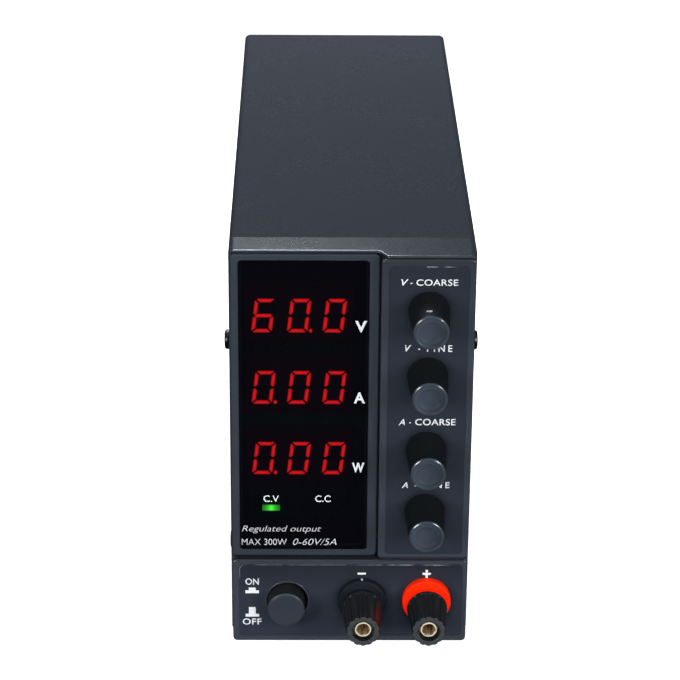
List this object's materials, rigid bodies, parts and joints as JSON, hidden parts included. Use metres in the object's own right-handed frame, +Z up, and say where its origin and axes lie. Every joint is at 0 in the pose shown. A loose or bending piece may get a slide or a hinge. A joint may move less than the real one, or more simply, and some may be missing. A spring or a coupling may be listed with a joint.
{
  "type": "switching dc power supply",
  "caption": "Bench-top switching power supply: tall steel case, moulded bezel with meter window, coarse and fine knobs, latching power button and screw-cap binding posts.",
  "frame": {"origin": "middle of the footprint, between the tips of the binding posts and the back of the fan guard, on the surface that the feet stand on", "axes": "+Z up; the front panel faces -Y, so the user looks along +Y; +X is to the right of a user facing the panel"},
  "size_m": [0.0894, 0.2784, 0.155],
  "materials": {
    "bezel_plastic": "fine satin moulding",
    "frame_plastic": "fine satin moulding",
    "panel_film": "matt printed panel film",
    "smoked_window": "smoked clear acrylic",
    "cover_paint": "textured powder coat",
    "bare_steel": "zinc plated sheet",
    "foot_rubber": "matt",
    "black_screw": "black zinc",
    "bright_screw": "zinc plated",
    "circuit_board": "solder mask",
    "meter_module": "black faced",
    "lamp_green": "diffused lamp, lit",
    "lamp_dark": "diffused lamp, unlit",
    "pot_metal": "tinned steel",
    "nut_plating": "nickel plated",
    "knob_plastic": "satin moulding",
    "shaft_metal": "turned",
    "button_plastic": "satin moulding",
    "switch_plastic": "matt",
    "plunger_nylon": "natural",
    "post_black": "polished moulding",
    "post_red": "polished moulding",
    "brass": "turned",
    "nickel_brass": "nickel flash over brass",
    "transformer_tape": "polyester tape and ferrite",
    "bulk_sleeve": "shrink sleeve",
    "output_sleeve": "shrink sleeve",
    "choke_copper": "enamelled copper over ferrite",
    "inductor_copper": "enamelled copper over iron powder",
    "heatsink_aluminium": "extruded",
    "epoxy_black": "moulded epoxy",
    "fan_plastic": "satin moulding",
    "guard_wire": "bright plated wire",
    "inlet_plastic": "satin moulding",
    "pin_plating": "nickel plated",
    "selector_red": "moulding",
    "panel_print": "screen-printed ink",
    "lit_segments": "diffused segments, lit",
    "dark_segments": "diffused segments, unlit"
  },
  "bodies": {
    "case": {"front_bezel": "bezel_plastic", "display_frame": "frame_plastic", "display_window": "smoked_window", "knob_plate": "panel_film", "terminal_plate": "panel_film", "top_cover": "cover_paint", "chassis_tray": "bare_steel", "rear_panel": "cover_paint", "feet": "foot_rubber", "foot_screws": "bright_screw", "side_screws": "black_screw", "bezel_screws": "bright_screw", "rear_panel_screws": "black_screw", "display_board": "circuit_board", "voltage_digits": "meter_module", "current_digits": "meter_module", "power_digits": "meter_module", "cv_lamp": "lamp_green", "cc_lamp": "lamp_dark", "control_board": "circuit_board", "potentiometers": "pot_metal", "pot_nuts": "nut_plating", "power_switch": "switch_plastic", "minus_base": "post_black", "minus_post": "brass", "plus_base": "post_red", "plus_post": "brass", "post_washers": "switch_plastic", "post_nuts": "nickel_brass", "main_board": "circuit_board", "board_spacers": "nickel_brass", "board_screws": "bright_screw", "transformer": "transformer_tape", "bulk_capacitors": "bulk_sleeve", "output_capacitors": "output_sleeve", "mains_choke": "choke_copper", "output_inductor": "inductor_copper", "heatsinks": "heatsink_aluminium", "power_transistors": "epoxy_black", "fan_frame": "fan_plastic", "fan_guard": "guard_wire", "inlet_socket": "inlet_plastic", "inlet_pins": "pin_plating", "selector_body": "switch_plastic"},
    "dial_v_coarse": {"knob_v_coarse": "knob_plastic", "shaft_v_coarse": "shaft_metal"},
    "dial_v_fine": {"knob_v_fine": "knob_plastic", "shaft_v_fine": "shaft_metal"},
    "dial_a_coarse": {"knob_a_coarse": "knob_plastic", "shaft_a_coarse": "shaft_metal"},
    "dial_a_fine": {"knob_a_fine": "knob_plastic", "shaft_a_fine": "shaft_metal"},
    "button": {"power_button": "button_plastic", "switch_plunger": "plunger_nylon"},
    "minus_thread": {"minus_insert": "nickel_brass"},
    "minus_grip": {"minus_cap": "post_black"},
    "plus_thread": {"plus_insert": "nickel_brass"},
    "plus_grip": {"plus_cap": "post_black"},
    "fan_wheel": {"fan_rotor": "fan_plastic"},
    "selector": {"selector_slider": "selector_red"}
  },
  "joints": [
    {"name": "v_coarse_turn", "type": "hinge", "parent": "case", "child": "dial_v_coarse", "pos_m": [0.0261, -0.11578, 0.1353], "axis": [0, 1, 0], "range_deg": [-150, 150]},
    {"name": "v_fine_turn", "type": "hinge", "parent": "case", "child": "dial_v_fine", "pos_m": [0.0261, -0.11578, 0.1107], "axis": [0, 1, 0], "range_deg": [0, 300]},
    {"name": "a_coarse_turn", "type": "hinge", "parent": "case", "child": "dial_a_coarse", "pos_m": [0.0261, -0.11578, 0.0824], "axis": [0, 1, 0], "range_deg": [0, 300]},
    {"name": "a_fine_turn", "type": "hinge", "parent": "case", "child": "dial_a_fine", "pos_m": [0.0261, -0.11578, 0.058], "axis": [0, 1, 0], "range_deg": [0, 300]},
    {"name": "power_press", "type": "slide", "parent": "case", "child": "button", "axis": [0, 1, 0], "range_m": [-0.003, 0.001], "stiffness_N_per_m": 400},
    {"name": "minus_cap_travel", "type": "slide", "parent": "case", "child": "minus_thread", "axis": [0, -1, 0], "range_m": [0, 0.004]},
    {"name": "minus_cap_turn", "type": "hinge", "parent": "minus_thread", "child": "minus_grip", "pos_m": [0.0044, -0.13078, 0.0223], "axis": [0, -1, 0], "range_deg": [0, 1440]},
    {"name": "plus_cap_travel", "type": "slide", "parent": "case", "child": "plus_thread", "axis": [0, -1, 0], "range_m": [0, 0.004]},
    {"name": "plus_cap_turn", "type": "hinge", "parent": "plus_thread", "child": "plus_grip", "pos_m": [0.0275, -0.13078, 0.0223], "axis": [0, -1, 0], "range_deg": [0, 1440]},
    {"name": "fan_spin", "type": "hinge", "parent": "case", "child": "fan_wheel", "pos_m": [0, 0.12423, 0.108], "axis": [0, 1, 0], "continuous": true},
    {"name": "selector_slide", "type": "slide", "parent": "case", "child": "selector", "axis": [0, 0, -1], "range_m": [0, 0.005]}
  ],
  "couplings": [
    {"joint": "minus_cap_turn", "follows": "minus_cap_travel", "rad_per_m": 6283},
    {"joint": "plus_cap_turn", "follows": "plus_cap_travel", "rad_per_m": 6283}
  ]
}
